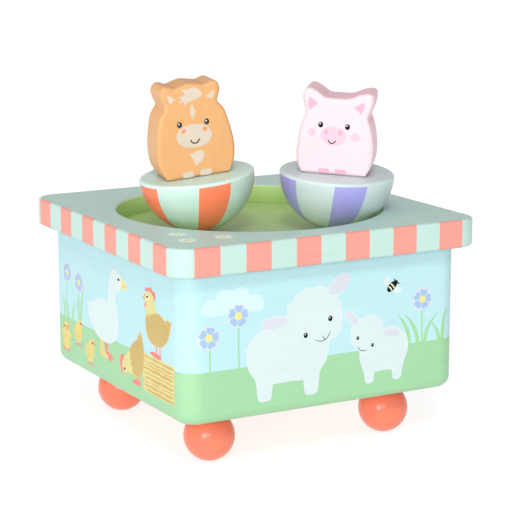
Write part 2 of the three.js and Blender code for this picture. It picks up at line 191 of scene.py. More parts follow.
def bare_wood(name, dark, light, grain):
    m = material(name)
    rings = m.noise(70, 6, grain, 0.65)
    pores = m.noise(420, 3, tuple(g * 1.6 for g in grain), 0.7)
    grained = m.ramp(rings, [(0.3, lin(dark)), (0.5, lin(light)), (0.72, shade(lin(light), 1.08))])
    specks = m.ramp(pores, [(0.36, (0.72, 0.66, 0.6, 1)), (0.48, WHITE)])
    m.feed(Base_Color=m.product(grained, specks, 0.6), Roughness=m.span(rings, 0.54, 0.7),
           Normal=m.bump(pores, 0.35, 0.0002, m.bump(rings, 0.3, 0.0004)))
    return m.owner


def metal(name, rgb, rough=0.28, brushed=(1, 1, 20), tarnish=0.12):
    m = material(name)
    base = lin(rgb)
    streak = m.noise(240, 4, brushed, 0.6)
    stain = m.noise(90, 4)
    streaked = m.ramp(streak, [(0.3, shade(base, 0.9)), (0.7, shade(base, 1.06))])
    stained = m.ramp(stain, [(0.3, (1 - tarnish, 1 - tarnish, 1 - tarnish * 1.3, 1)), (0.6, WHITE)])
    m.feed(Base_Color=m.product(streaked, stained), Roughness=m.span(streak, rough - 0.07, rough + 0.1),
           Normal=m.bump(streak, 0.25, 0.0001), Metallic=1)
    return m.owner


SKY = paint("sky", (170, 207, 212))
GRASS = paint("grass", (146, 192, 148))
MINT = paint("mint", (176, 204, 196), grain=(1, 12, 12))
STRIPE_CORAL = paint("stripe_coral", (215, 143, 129), grain=(1, 12, 12))
# the recess is painted one green: the floor's copy is darker as painted shade, the wall's copy lighter as
# painted light
RECESS_FLOOR_PAINTED_SHADE = paint("recess_floor_painted_shade", (168, 196, 126), rough=0.35, grain=(1, 12, 12))
RECESS_WALL_PAINTED_LIGHT = paint("recess_wall_painted_light", (198, 227, 152), rough=0.35, grain=(1, 12, 12))
FOOT_CORAL = paint("foot_coral", (226, 120, 93), rough=0.3, grain=(1, 1, 1), coat=0.35, shine=0.2)
GORE_CORAL = lacquer("gore_coral", (246, 128, 92))
GORE_LILAC = lacquer("gore_lilac", (156, 153, 216))
BASE_MINT = lacquer("base_mint", (194, 220, 210))
# the same mint as the horse's base, greyed for the pig's base as painted shade
BASE_MINT_PAINTED_SHADE = lacquer("base_mint_painted_shade", (190, 206, 206))
COAT_TAN = paint("coat_tan", (213, 160, 108), grain=(10, 10, 1), shine=0.2)
COAT_PINK = paint("coat_pink", (223, 198, 205), grain=(10, 10, 1))
SIDE_PINK = paint("side_pink", (228, 184, 195), grain=(10, 10, 1))
CREAM = marking("cream", 203, 188, 170)
EAR_PINK = marking("ear_pink", 226, 160, 184)
SNOUT_PINK = marking("snout_pink", 226, 180, 196)
CHEEK_PINK = marking("cheek_pink", 223, 178, 193)
NOSTRIL_PINK = marking("nostril_pink", 220, 156, 180)
NOSTRIL_TAN = marking("nostril_tan", 214, 142, 92)
INK = paint("ink", (10, 18, 21), rough=0.35, relief=0.1, shine=0.1)
INK_BROWN = paint("ink_brown", (52, 46, 44), relief=0.1, shine=0.1)
INK_BLUE = paint("ink_blue", (66, 86, 108), rough=0.35, relief=0.1, shine=0.1)
GLINT = paint("glint", (235, 238, 238), rough=0.35, relief=0.1)
WOOL = film("wool", 195, 209, 210)
WOOL_EAR = film("wool_ear", 194, 197, 206)
CLOUD = film("cloud", 190, 213, 216)
GOOSE_WHITE = film("goose_white", 197, 211, 212)
PETAL = film("petal_blue", 147, 176, 207)
PETAL_EDGE = film("petal_edge", 199, 196, 206)
POLLEN = film("pollen", 213, 204, 129)
LEAF = film("leaf", 145, 196, 141)
DAISY = film("daisy", 214, 230, 224)
STRAW = film("straw", 204, 195, 127)
STRAW_DARK = film("straw_dark", 186, 150, 84)
HEN_TAN = film("hen_tan", 184, 159, 95)
HEN_YELLOW = film("hen_yellow", 201, 195, 131)
CHICK = film("chick", 206, 191, 112)
HEN_EDGE = film("hen_edge", 206, 166, 95)
HEN_FACE = film("hen_face", 226, 222, 178)
HEN_LIGHT = film("hen_light", 196, 171, 106)
BEAK = film("beak", 203, 168, 112)
COMB = film("comb", 221, 119, 110)
MOUTH_GREY = paint("mouth_grey", (58, 72, 78), relief=0.1)
BEE_YELLOW = film("bee_yellow", 222, 218, 176)
PLYWOOD = bare_wood("plywood", (186, 146, 98), (222, 188, 140), (1, 8, 8))
BEECH = bare_wood("beech", (200, 164, 120), (232, 206, 164), (8, 8, 1))
BRASS = metal("brass", (206, 168, 92))
STEEL = metal("steel", (186, 190, 194))
CASTING = metal("casting", (140, 143, 146), 0.5, (1, 1, 1), 0.2)
MAGNET = metal("magnet_nickel", (170, 172, 176), 0.22)


def dark_plastic():
    m = material("dark_plastic")
    grit = m.noise(1500, 2)
    m.feed(Base_Color=m.ramp(grit, [(0.3, lin((58, 60, 62))), (0.7, lin((72, 74, 76)))]),
           Roughness=m.span(grit, 0.5, 0.62), Normal=m.bump(grit, 0.3, 0.00006))
    return m.owner


PLASTIC = dark_plastic()


# ---- mesh tools

def new_object(name, data, place=(0, 0, 0), towards=None):
    obj = bpy.data.objects.new(name, data)
    obj.location = place
    if towards:
        obj.rotation_euler = towards.to_track_quat("-Z", "Y").to_euler()
    bpy.context.scene.collection.objects.link(obj)
    return obj


def piece(name, verts, faces, mats, body, nodes=(), face_mats=None, smooth=True):
    """Makes a closed mesh object from points in millimetres and hands it to its body."""
    mesh = bpy.data.meshes.new(name)
    mesh.from_pydata([Vector(v) * MM for v in verts], [], faces)
    for m in mats:
        mesh.materials.append(m)
    if face_mats:
        mesh.polygons.foreach_set("material_index", face_mats)
    bm = bmesh.new()
    bm.from_mesh(mesh)
    bmesh.ops.recalc_face_normals(bm, faces=bm.faces)
    bm.to_mesh(mesh)
    bm.free()
    mesh.polygons.foreach_set("use_smooth", [smooth] * len(mesh.polygons))
    mesh.update()
    obj = new_object(name, mesh)
    if smooth:
        obj.modifiers.new("normals", "WEIGHTED_NORMAL").keep_sharp = True
    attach(obj, body)
    if nodes:
        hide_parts(*nodes)


def band(lo, hi, n):
    """Faces between two rings of n points that start at the indices lo and hi."""
    return [(lo + i, lo + (i + 1) % n, hi + (i + 1) % n, hi + i) for i in range(n)]


def joined(rings):
    return [p for ring in rings for p in ring]


def swept(rings):
    """Faces of a closed ring of closed rings; also the (ring, step) of each face."""
    n, k = len(rings[0]), len(rings)
    faces = joined(band(j * n, (j + 1) % k * n, n) for j in range(k))
    return joined(rings), faces, [(j, i) for j in range(k) for i in range(n)]


def capped(rings, bottom, top):
    """Faces of a stack of rings closed by a point at each end; also (band, step) per face."""
    n, k = len(rings[0]), len(rings)
    top_ring, last = 1 + (k - 1) * n, 1 + k * n
    faces = [(0, 1 + (i + 1) % n, 1 + i) for i in range(n)]
    faces += joined(band(1 + j * n, 1 + (j + 1) * n, n) for j in range(k - 1))
    faces += [(top_ring + i, top_ring + (i + 1) % n, last) for i in range(n)]
    return [bottom] + joined(rings) + [top], faces, [(j, i) for j in range(k + 1) for i in range(n)]


def stacked(rings):
    """Faces of a stack of rings closed by one flat face at each end; also the band of each face."""
    n, last = len(rings[0]), len(rings) - 1
    faces = joined(band(j * n, (j + 1) * n, n) for j in range(last))
    faces += [tuple(range(n)), tuple(last * n + i for i in range(n))]
    return joined(rings), faces, [j for j in range(last) for _ in range(n)] + [0, last]


def edge_normals(line):
    """Unit normals of a closed outline, on the right of the way it runs."""
    along = [(line[(i + 1) % len(line)] - line[i - 1]).normalized() for i in range(len(line))]
    return [Vector((d.y, -d.x)) for d in along]


def turned(profile, steps):
    """Solid of revolution about Z from (radius, height) pairs, axis to axis."""
    angles = [2 * pi * i / steps for i in range(steps)]
    rings = [[(r * cos(a), r * sin(a), z) for a in angles] for r, z in profile[1:-1]]
    return capped(rings, (0, 0, profile[0][1]), (0, 0, profile[-1][1]))


def heading(angle):
    """Cosine and sine of an angle in degrees."""
    return cos(radians(angle)), sin(radians(angle))


def arc(cx, cy, r, start, end, steps):
    """Points on an arc in (across, up), angles in degrees."""
    turns = [heading(start + (end - start) * s / steps) for s in range(steps + 1)]
    return [(cx + r * c, cy + r * s) for c, s in turns]


class Rounded:
    """The outline of a square with round corners, as marks that any inset can be read at."""

    ARC_STEPS, FLAT_STEP = 12, 2.2      # steps round each corner, and the longest step along a side

    def __init__(self, half, corner, breaks):
        self.half, self.corner, self.marks = half, corner, []
        for side in range(4):
            flat = half - corner
            cuts = sorted(set([-flat, flat] + [b for b in breaks[side] if -flat < b < flat]))
            for lo, hi in zip(cuts, cuts[1:]):
                steps = max(1, round((hi - lo) / self.FLAT_STEP))
                self.marks += [(side, "flat", lo + (hi - lo) * s / steps) for s in range(steps)]
            turns = set(90.0 * s / self.ARC_STEPS for s in range(self.ARC_STEPS))
            for b in breaks[side]:
                if b > flat:
                    turns.add(degrees(asin((b - flat) / corner)))
            for b in breaks[(side + 1) % 4]:
                if b < -flat:
                    turns.add(90.0 - degrees(asin((-b - flat) / corner)))
            self.marks += [(side, "turn", t) for t in sorted(turns)]

    def at(self, inset, z):
        ring = []
        half = self.half - inset
        r = max(self.corner - inset, 0.02)
        for side, kind, value in self.marks:
            if kind == "flat":
                x, y = max(-half + r, min(half - r, value)), -half
            else:
                c, s = heading(value - 90)
                x, y = half - r + r * c, -(half - r) + r * s
            for _ in range(side):
                x, y = -y, x
            ring.append((x, y, z))
        return ring

    def spans(self):
        """For each step, its side and where its middle lies along that side, at full size."""
        out = []
        ring = self.at(0, 0)
        n = len(ring)
        for i in range(n):
            a, b = ring[i], ring[(i + 1) % n]
            x, y = (a[0] + b[0]) / 2, (a[1] + b[1]) / 2
            best = None
            for side in range(4):
                if best is None or -y > best[0]:
                    best = (-y, side, x)
                x, y = y, -x
            out.append((best[1], best[2]))
        return out


# ---- flat painted shapes

def smooth_line(points, closed=True, steps=7):
    """A soft curve through (across, up) points; a third value of 1 keeps that point sharp."""
    n = len(points)
    pts = [Vector(p[:2]) for p in points]
    sharp = [len(p) > 2 and p[2] == 1 for p in points]
    out = []
    for i in range(n if closed else n - 1):
        p1, p2 = pts[i], pts[(i + 1) % n]
        has0 = closed or i > 0
        has3 = closed or i + 2 < n
        p0 = p1 + (p1 - p2) * 0.5 if sharp[i] or not has0 else pts[i - 1]
        p3 = p2 + (p2 - p1) * 0.5 if sharp[(i + 1) % n] or not has3 else pts[(i + 2) % n]
        for s in range(steps):
            t = s / steps
            out.append(0.5 * ((2 * p1) + (p2 - p0) * t + (2 * p0 - 5 * p1 + 4 * p2 - p3) * t * t
                              + (3 * p1 - p0 - 3 * p2 + p3) * t ** 3))
    if not closed:
        out.append(pts[-1])
    return out


def ellipse(cx, cy, rx, ry=None, turn=0, n=36, power=1):
    ry = rx if ry is None else ry
    c, s = heading(turn)
    out = []
    for i in range(n):
        a = 2 * pi * i / n
        x = rx * copysign(abs(cos(a)) ** power, cos(a))
        y = ry * copysign(abs(sin(a)) ** power, sin(a))
        out.append(Vector((cx + x * c - y * s, cy + x * s + y * c)))
    return out


def stroke(points, w0, w1=None, w2=None):
    """A brush line through the points, with its width at the start, middle and end."""
    w1 = w0 if w1 is None else w1
    w2 = w0 if w2 is None else w2
    line = smooth_line(points, closed=False, steps=6)
    left, right = [], []
    n = len(line) - 1
    for i, p in enumerate(line):
        t = i / n
        w = w0 + (w1 - w0) * t * 2 if t < 0.5 else w1 + (w2 - w1) * (t * 2 - 1)
        d = (line[min(i + 1, n)] - line[max(i - 1, 0)]).normalized()
        side = Vector((-d.y, d.x)) * w / 2
        left.append(p + side)
        right.append(p - side)
    return left + right[::-1]


class Art:
    """Thin films of paint laid on one surface in painting order, gathered into one mesh."""

    # height of the lowest film, of each film over the ones it crosses, and how deep their undersides lie
    FILM, STEP, SUNK = 0.02, 0.006, 0.03

    def __init__(self, surface, origin=(0, 0), bend_at=()):
        self.surface, self.origin, self.bend_at, self.films = surface, origin, bend_at, []
        self.verts, self.faces, self.face_mats, self.mats = [], [], [], []

    def height(self, outline):
        xs, ys = [p[0] for p in outline], [p[1] for p in outline]
        x0, x1, y0, y1 = min(xs), max(xs), min(ys), max(ys)
        under = [h for a, b, c, d, h in self.films if x0 < b and a < x1 and y0 < d and c < y1]
        h = max(under) + self.STEP if under else self.FILM
        self.films.append((x0, x1, y0, y1, h))
        return h

    def add(self, outline, mat):
        if mat not in self.mats:
            self.mats.append(mat)
        slot = self.mats.index(mat)
        bm = bmesh.new()
        corners = [bm.verts.new((p[0] + self.origin[0], p[1] + self.origin[1], 0)) for p in outline]
        face = bm.faces.new(corners)
        face.normal_update()
        if face.normal.z < 0:
            face.normal_flip()
        bmesh.ops.triangulate(bm, faces=[face])
        for at in self.bend_at:
            bmesh.ops.bisect_plane(bm, geom=bm.verts[:] + bm.edges[:] + bm.faces[:],
                                   plane_co=(at, 0, 0), plane_no=(1, 0, 0))
        bmesh.ops.remove_doubles(bm, verts=bm.verts, dist=1e-5)
        bm.verts.index_update()
        start, n = len(self.verts), len(bm.verts)
        for height in (self.height(outline), -self.SUNK):
            self.verts += [self.surface(v.co.x, v.co.y, height) for v in bm.verts]
        for f in bm.faces:
            ids = [v.index for v in f.verts]
            self.faces.append([start + i for i in ids])
            self.faces.append([start + n + i for i in reversed(ids)])
            self.face_mats += [slot, slot]
        for e in bm.edges:
            if len(e.link_faces) == 1:
                loop = next(lp for lp in e.link_faces[0].loops if lp.edge == e)
                a, b = loop.vert.index, loop.link_loop_next.vert.index
                self.faces.append([start + b, start + a, start + n + a, start + n + b])
                self.face_mats.append(slot)
        bm.free()

    def blob(self, mat, points):
        self.add(smooth_line(points), mat)

    def line(self, mat, points, *widths):
        self.add(stroke(points, *widths), mat)

    def oval(self, mat, *shape):
        self.add(ellipse(*shape), mat)

    def done(self, name, body):
        piece(name, self.verts, self.faces, self.mats, body, face_mats=self.face_mats, smooth=False)


# ---- lid

def stripe_breaks(first):
    return [first + STRIPE * k for k in range(STRIPES + 1)]


# sides run front, right, back, left, each read anticlockwise seen from above
LID_BREAKS = [stripe_breaks(-48.7), stripe_breaks(-47.96), stripe_breaks(-47.96), stripe_breaks(-47.3)]


def make_lid():
    path = Rounded(LID_HALF, LID_CORNER, LID_BREAKS)
    outer = path.at(0, 0)
    bearing = [atan2(p[1], p[0]) for p in outer]

    def ring(r, z):
        return [(r * cos(a), r * sin(a), z) for a in bearing]

    rings = [ring(REBATE_R, FLOOR_TOP), ring(RECESS_R, FLOOR_TOP), ring(RECESS_R, LID_TOP - RIM)]
    wall_end = len(rings)        # the recess wall's lighter green, a painted light, ends on the first step of the rim
    for r, z in arc(RECESS_R + RIM, LID_TOP - RIM, RIM, 180, 90, 5)[1:]:
        rings.append(ring(r, z))
    first_outer = len(rings)
    edge = arc(LID_EDGE, LID_TOP - LID_EDGE, LID_EDGE, 90, 180, 6)
    edge += arc(LID_EDGE, LID_UNDER + LID_EDGE, LID_EDGE, 180, 270, 6)
    for inset, z in edge:
        rings.append(path.at(inset, z))
    last_outer = len(rings) - 1
    rings.append(ring(REBATE_R, LID_UNDER))
    verts, faces, where = swept(rings)
    spans = path.spans()
    slots = []
    for j, i in where:
        if j <= wall_end:
            slots.append(2)
        elif first_outer <= j < last_outer:
            side, along = spans[i]
            k = floor((along - LID_BREAKS[side][0]) / STRIPE + 1e-6)
            slots.append(1 if 0 <= k < STRIPES and k % 2 == 0 else 0)
        else:
            slots.append(0)
    piece("lid_board", verts, faces, [MINT, STRIPE_CORAL, RECESS_WALL_PAINTED_LIGHT], "case", ["lid"],
          slots)


def make_case():
    path = Rounded(BODY_HALF, BODY_CORNER, [[]] * 4)
    profile = [(WALL, BODY_TOP), (WALL, BODY_BOTTOM), (BODY_EDGE, BODY_BOTTOM)]
    profile += arc(BODY_EDGE, BODY_BOTTOM + BODY_EDGE, BODY_EDGE, 270, 180, 8)[1:]
    horizon_ring = len(profile)
    profile += [(0, HORIZON), (0, BODY_TOP - BODY_BEVEL), (BODY_BEVEL, BODY_TOP)]
    verts, faces, where = swept([path.at(inset, z) for inset, z in profile])
    slots = []
    for j, _ in where:
        if horizon_ring <= j < len(profile) - 1:
            slots.append(0)
        else:
            slots.append(1 if 2 <= j < horizon_ring else 2)
    piece("case_shell", verts, faces, [SKY, GRASS, BEECH], "case",
          ["front_wall", "back_wall", "left_wall", "right_wall"], slots)


def make_feet():
    """Round feet, flattened where they stand, with a dowel up into the case."""
    for tag in ("front_left", "front_right", "back_left", "back_right"):
        lo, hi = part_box("foot_" + tag)
        cx, cy = (lo[0] + hi[0]) / 2 / MM, (lo[1] + hi[1]) / 2 / MM
        ball = arc(0, FOOT_MID, FOOT_R, -degrees(asin(FOOT_MID / FOOT_R)), 60, 26)
        profile = [(0, 0)] + ball + [(DOWEL_R + 0.1, FOOT_TOP - 0.9), (DOWEL_R, FOOT_TOP), (0, FOOT_TOP)]
        verts, faces, _ = turned(profile, 72)
        verts = [(x + cx, y + cy, z) for x, y, z in verts]
        piece("ball_" + tag, verts, faces, [FOOT_CORAL], "case", ["foot_" + tag])


# ---- painted walls

def wall_surface(side):
    """Maps (across, height, proud) on a wall, wrapping round its corners; sides as for the lid."""
    flat = BODY_HALF - BODY_CORNER

    def at(s, z, h):
        if abs(s) <= flat:
            x, y = s, -BODY_HALF - h
        else:
            a = (abs(s) - flat) / BODY_CORNER
            x = copysign(flat + (BODY_CORNER + h) * sin(a), s)
            y = -flat - (BODY_CORNER + h) * cos(a)
        for _ in range(side):
            x, y = -y, x
        return (x, y, z)
    return at


BENDS = [-46, -45, -44, -43, 43, 44, 45, 46]
WALL_CORNER = (-52, 14)      # the wall drawings are read from this corner


def moved(points, dx, dy, k=1):
    return [(dx + p[0] * k, dy + p[1] * k) + tuple(p[2:]) for p in points]


def petal(x, y, r, turn, grow=0):
    """One notched petal that points along turn degrees from the middle of its flower."""
    shape = [(0.2, 0), (0.42, 0.24), (0.7, 0.42), (0.98, 0.27), (0.93, 0), (0.98, -0.27), (0.7, -0.42),
             (0.42, -0.24)]
    c, s = heading(turn)
    points = []
    for along, across in shape:
        a = along * r + (grow if along > 0.4 else 0)
        b = across * r + copysign(grow, across) * (across != 0)
        points.append((x + a * c - b * s, y + a * s + b * c))
    return smooth_line(points, steps=5)


def flower(art, x, y, r, turn):
    for grow, mat in ((0.4, PETAL_EDGE), (0, PETAL)):
        for k in range(5):
            art.add(petal(x, y, r, turn + 72 * k, grow), mat)
    art.add(ellipse(x, y, 0.36 * r, power=0.85), POLLEN)


def blade(art, points, width):
    """One blade of grass from its tip down."""
    art.line(LEAF, points, width * 0.15, width * 0.8, width)


def eye(art, x, y, r, blue=False):
    art.oval(INK, x, y, r, r * 1.18)
    if blue:
        art.oval(INK_BLUE, x - 0.12 * r, y - 0.05 * r, r * 0.62, r * 0.74)
    art.oval(GLINT, x - 0.25 * r, y + 0.42 * r, r * 0.27)


def cloud(art, dx=0, dy=0, k=1):
    art.blob(CLOUD, moved([
        (8.2, 37.6), (8, 40), (9.8, 41.9), (12.8, 42.2, 1), (13.6, 44), (16, 44.8), (19.2, 44, 1),
        (21.4, 45), (23.6, 44.2), (24.6, 42.2, 1), (27.4, 42.2), (29.4, 40.2), (29.2, 37.8), (27.4, 36.9),
        (22, 37), (15, 36.9), (10, 36.9)], dx, dy, k))


def standing_chick(art, dx=0, dy=0):
    """A chick seen from its side, looking towards the front corner."""
    art.line(COMB, moved([(21, 11.8), (23.4, 12.1), (26.3, 11.8)], dx, dy), 0.3, 0.75, 0.3)
    art.blob(CHICK, moved([
        (19.6, 17.2), (21.5, 18.8), (23.4, 20.2), (25, 20.8), (26.5, 20), (26.4, 17), (25.6, 14),
        (23.8, 12.6), (21.6, 13), (20.3, 15)], dx, dy))
    art.blob(COMB, moved([(26.1, 20.1, 1), (27.9, 19.4, 1), (26.1, 18.9, 1)], dx, dy))
    art.oval(INK_BROWN, 25.3 + dx, 19.55 + dy, 0.62, 0.3, 4)
    art.line(STRAW_DARK, moved([
        (21.2, 17.4), (21.6, 15.4), (23.2, 14.6), (24.4, 16)], dx, dy), 0.12, 0.3, 0.12)


def facing_chick(art):
    """A chick seen from the front with its wings out."""
    for x in (11.4, 14.6):
        art.oval(COMB, x, 8.3, 1.15, 0.6)
    art.blob(CHICK, [
        (8.5, 13.9), (10.6, 14.9), (12, 15.4), (14.8, 15.4), (16.2, 14.8), (18, 13.7), (16.9, 12.4),
        (16.7, 10.6), (15.6, 9), (13.2, 8.4), (11, 8.9), (10, 10.6), (9.9, 12.6)])
    art.oval(CHICK, 13.3, 16.2, 2.4, 1.75)
    art.oval(INK_BROWN, 12, 16.1, 0.55, 0.3, 10)
    art.oval(INK_BROWN, 14.6, 16.4, 0.5, 0.27, 10)
    art.blob(COMB, [(12.5, 15.7, 1), (13.6, 15.8), (14.9, 15.9, 1), (13.6, 15)])
    for tip, low in ((10.4, 11.4), (16.3, 15.3)):
        art.line(STRAW_DARK, [(tip, 12.8), ((tip + low) / 2, 11.8), (low, 12.4)], 0.1, 0.28, 0.1)


def hatched(art, cx, cy, rx, ry, turns):
    """Fine crossed brush strokes that fill an ellipse."""
    for turn in turns:
        c, s = heading(turn)
        for k in range(-5, 6):
            v = k * 0.175
            u = sqrt(1 - v * v)
            ends = [(cx + rx * (e * u * c - v * s), cy + ry * (e * u * s + v * c)) for e in (-1, 1)]
            art.line(HEN_LIGHT, ends, 0.1, 0.2, 0.1)


def shrunk(points, k):
    """The same outline drawn k times the size about its own middle."""
    cx = sum(p[0] for p in points) / len(points)
    cy = sum(p[1] for p in points) / len(points)
    return [(cx + (p[0] - cx) * k, cy + (p[1] - cy) * k) + tuple(p[2:]) for p in points]


def grass_tuft(art, dx=0, flip=1):
    for line, width in (([(78.8, 29.4), (80.6, 27), (82.2, 23.8), (82.8, 19.4)], 1.5),
                        ([(81, 29.5), (83.6, 26.6), (85.4, 23.2), (86.3, 19.4)], 1.5),
                        ([(93.8, 28.9), (91, 25.8), (89.4, 22.8), (88.8, 19.4)], 1.3),
                        ([(91, 26.2), (92.8, 24), (93.9, 21.8), (94.4, 19.4)], 1.3),
                        ([(97.7, 30.6), (96.4, 27), (95.9, 23.2), (95.6, 19.4)], 1.5)):
        blade(art, [(dx + x * flip, y) for x, y in line], width)


def bee(art):
    for x, y, turn in ((74.1, 41, 62), (78.2, 37.9, 22)):
        art.oval(GOOSE_WHITE, x, y, 1.6, 1.1, turn)
    art.oval(INK, 76, 39.2, 2.15, 1.25, 42)
    for along, half in ((-0.85, 1.02), (0.3, 1.14)):
        x, y, c, s = 76 + along * 0.743, 39.2 + along * 0.669, 0.743 * half, 0.669 * half
        art.line(BEE_YELLOW, [(x - s, y + c), (x + 0.12, y + 0.1), (x + s, y - c)], 0.34, 0.5, 0.34)
    art.oval(INK, 77.35, 40.35, 0.85, 0.8, 42)
    for x, y in ((77.1, 41.6), (78.6, 40.3)):
        art.line(INK, [(77.3, 40.5), (x - 0.1, y - 0.3), (x, y)], 0.3)


def front_wall():
    art = Art(wall_surface(0), WALL_CORNER, BENDS)
    cloud(art)
    for x, top in ((10.8, 27.4), (20.7, 33), (87.7, 30.2)):
        art.line(LEAF, [(x, top), (x, 24), (x + 0.1, 19.6)], 0.55)
    flower(art, 10.5, 30.3, 3.4, 77)
    flower(art, 20.6, 36, 3.4, 85)
    flower(art, 87.7, 33.8, 3.3, 78)
    grass_tuft(art)
    # ewe
    art.blob(WOOL, [
        (23.9, 19.2), (23.4, 22), (23.6, 25), (24.8, 27.6), (27.2, 29.8), (31, 31.4), (40, 32), (52, 26),
        (52.4, 20), (51.4, 17.4), (49.7, 15.2), (49.3, 12), (48.8, 9), (47.8, 7.9), (45.2, 7.8),
        (44.1, 8.8), (43.6, 12.9, 1), (38, 13.1), (32.6, 12.9, 1), (32.1, 8.8), (31, 7.8), (28.2, 7.9),
        (27.3, 9.2), (26.8, 13), (26.2, 15.4), (24.8, 17.2)])
    art.blob(WOOL, [
        (37.7, 34.6), (37.6, 36.8), (38.4, 38.2), (39.9, 38.7, 1), (40.2, 40.2), (41.4, 41), (43, 41, 1),
        (44, 42.3), (45.8, 42.4), (46.8, 41.9, 1), (48.4, 42.5), (50.6, 42.2), (52.6, 41), (55, 38.8),
        (57, 36), (57.9, 32.4), (57.6, 28.8), (56, 25.9), (52.8, 24.2), (48.4, 23.6), (44, 24.2),
        (41, 26.4), (39, 30)])
    art.oval(WOOL, 33.4, 32.5, 5.1, 2.15, 4)
    art.oval(WOOL_EAR, 33.3, 32.3, 4.7, 1.8, 4)
    art.oval(WOOL, 56.4, 41.9, 4.9, 2.8, 36)
    art.oval(WOOL_EAR, 56.6, 42, 4.5, 2.35, 36)
    eye(art, 53.25, 31.5, 0.78)
    eye(art, 44.35, 27.1, 0.72)
    art.line(MOUTH_GREY, [
        (47.8, 25.2), (49.7, 24.6), (51.3, 24.9), (52.6, 26), (53.3, 27.3)], 0.18, 0.3, 0.18)
    art.line(MOUTH_GREY, [(50.4, 26.3), (50.9, 25.5), (51.4, 25.1)], 0.15, 0.25, 0.2)
    # lamb
    art.blob(WOOL, [
        (60.8, 25.8), (61.2, 27.8), (62.6, 29.4), (64.6, 30.3, 1), (67.4, 31), (70.4, 30.4),
        (71.4, 29.4, 1), (72.8, 28.2), (73.2, 26), (73.8, 25), (78, 25.2), (80.8, 24.2), (82.3, 21.4),
        (82.4, 18), (81.2, 14.8), (80.3, 12), (80, 9.6), (79.2, 8.7), (77.4, 8.7), (76.7, 9.6),
        (76.3, 12, 1), (73, 12.2), (69.7, 12, 1), (69.4, 9.4), (68.6, 8.6), (66.9, 8.6), (66.2, 9.6),
        (65.9, 12), (65, 14.4), (64.1, 17), (64, 19.4), (61.8, 21.2), (60.9, 23.4)])
    art.oval(WOOL, 61.2, 30.7, 3.3, 1.7, -44)
    art.oval(WOOL_EAR, 61.1, 30.8, 2.9, 1.35, -44)
    art.oval(WOOL, 76.5, 24.6, 3.5, 1.7, -10)
    art.oval(WOOL_EAR, 76.2, 24.2, 3, 1.35, -10)
    eye(art, 63.4, 23.9, 0.52)
    eye(art, 68.95, 21, 0.52)
    art.line(MOUTH_GREY, [(63.3, 21.2), (64.2, 20), (65.6, 19.5), (67, 19.7)], 0.15, 0.28, 0.15)
    bee(art)
    art.done("front_wall_painting", "case")


def goose(art):
    art.blob(COMB, [
        (45.2, 18.4), (46.9, 18.4), (46.9, 15.4), (48.2, 14.6), (50.3, 14.7, 1), (49.3, 13.9, 1),
        (53, 13.6, 1), (49.4, 13, 1), (50.7, 12.1, 1), (48, 12.3), (46.2, 13), (45.2, 15)])
    art.blob(CHICK, [
        (41.3, 18.4), (43.6, 18.4), (43.7, 15), (44.4, 14.4), (46.6, 13.6), (47.4, 13), (46.4, 12.3),
        (43.4, 12.4), (41.3, 12.8), (41.1, 15)])
    art.blob(GOOSE_WHITE, [
        (31.5, 28.8, 1), (32.1, 27.6), (31.7, 26.7, 1), (32.5, 25.6), (32.2, 24.6, 1), (33.2, 23.4),
        (33.2, 22.4, 1), (35, 21.3), (36.6, 20.1), (38.6, 18.7), (43, 17.8), (48, 17.7), (52, 19.2),
        (54.7, 21.6), (55.5, 25.2), (55.2, 28.4), (54.2, 31.6), (53.5, 33.6), (54, 35.8), (55.6, 36.5),
        (57.4, 37.2), (58.5, 38.8), (58.5, 41), (57.3, 42.5), (55, 43.5), (52.2, 43.3), (50, 41.6),
        (48.7, 38.6), (48.2, 35.6), (47.9, 33), (47.2, 31.5, 1), (44.6, 31.6), (42.2, 31.9), (38.6, 30.9),
        (35.6, 29.4), (33.4, 28.9)])
    art.blob(POLLEN, [
        (58.1, 41.4, 1), (59.6, 41.3), (60.8, 40.3), (63.2, 39.3, 1), (60.6, 38.1), (58.1, 37.8, 1)])
    art.line(BEAK, [(58.3, 38.8), (60.6, 39), (62.9, 39.3)], 0.4, 0.34, 0.15)
    art.oval(INK, 56.2, 40.55, 0.85, 0.4, 8)


def bale(art):
    art.blob(STRAW, [
        (74.4, 20.9, 1), (80, 20.7), (88, 20.8), (95.2, 20.8, 1), (95.5, 17), (95.3, 13), (95.5, 8.7, 1),
        (88, 8.5), (80, 8.5), (73.5, 8.5, 1), (74, 11), (73.6, 14), (74.4, 17.5)])
    rows = ((19.8, 0.7), (18.4, 0.5), (17.3, 0.45), (16.1, 0.95), (14.6, 0.5), (13.2, 0.95), (11.9, 0.45),
            (10.7, 0.75), (9.2, 0.8))
    for k, (y, width) in enumerate(rows):
        x0, x1 = 74.1 + 0.5 * (k % 3), 95.2 - 0.6 * (k % 2)
        points = []
        for step in range(9):
            points.append((x0 + (x1 - x0) * step / 8, y + 0.07 * sin(step * 1.9 + k * 2.3)))
        art.line(STRAW_DARK, points, width * 0.6, width, width * 0.7)
    for k in range(60):      # loose straws, spread evenly so that none line up
        x, y = 74.4 + 16 * (k * 0.755 % 1), 9 + 11.3 * (k * 0.57 % 1)
        ends = [(x, y), (x + 2.4 + 2.2 * (k * 0.271 % 1), y + 0.12 * sin(k * 2.4))]
        art.line(STRAW_DARK if k % 2 else STRAW, ends, 0.06, 0.2, 0.06)


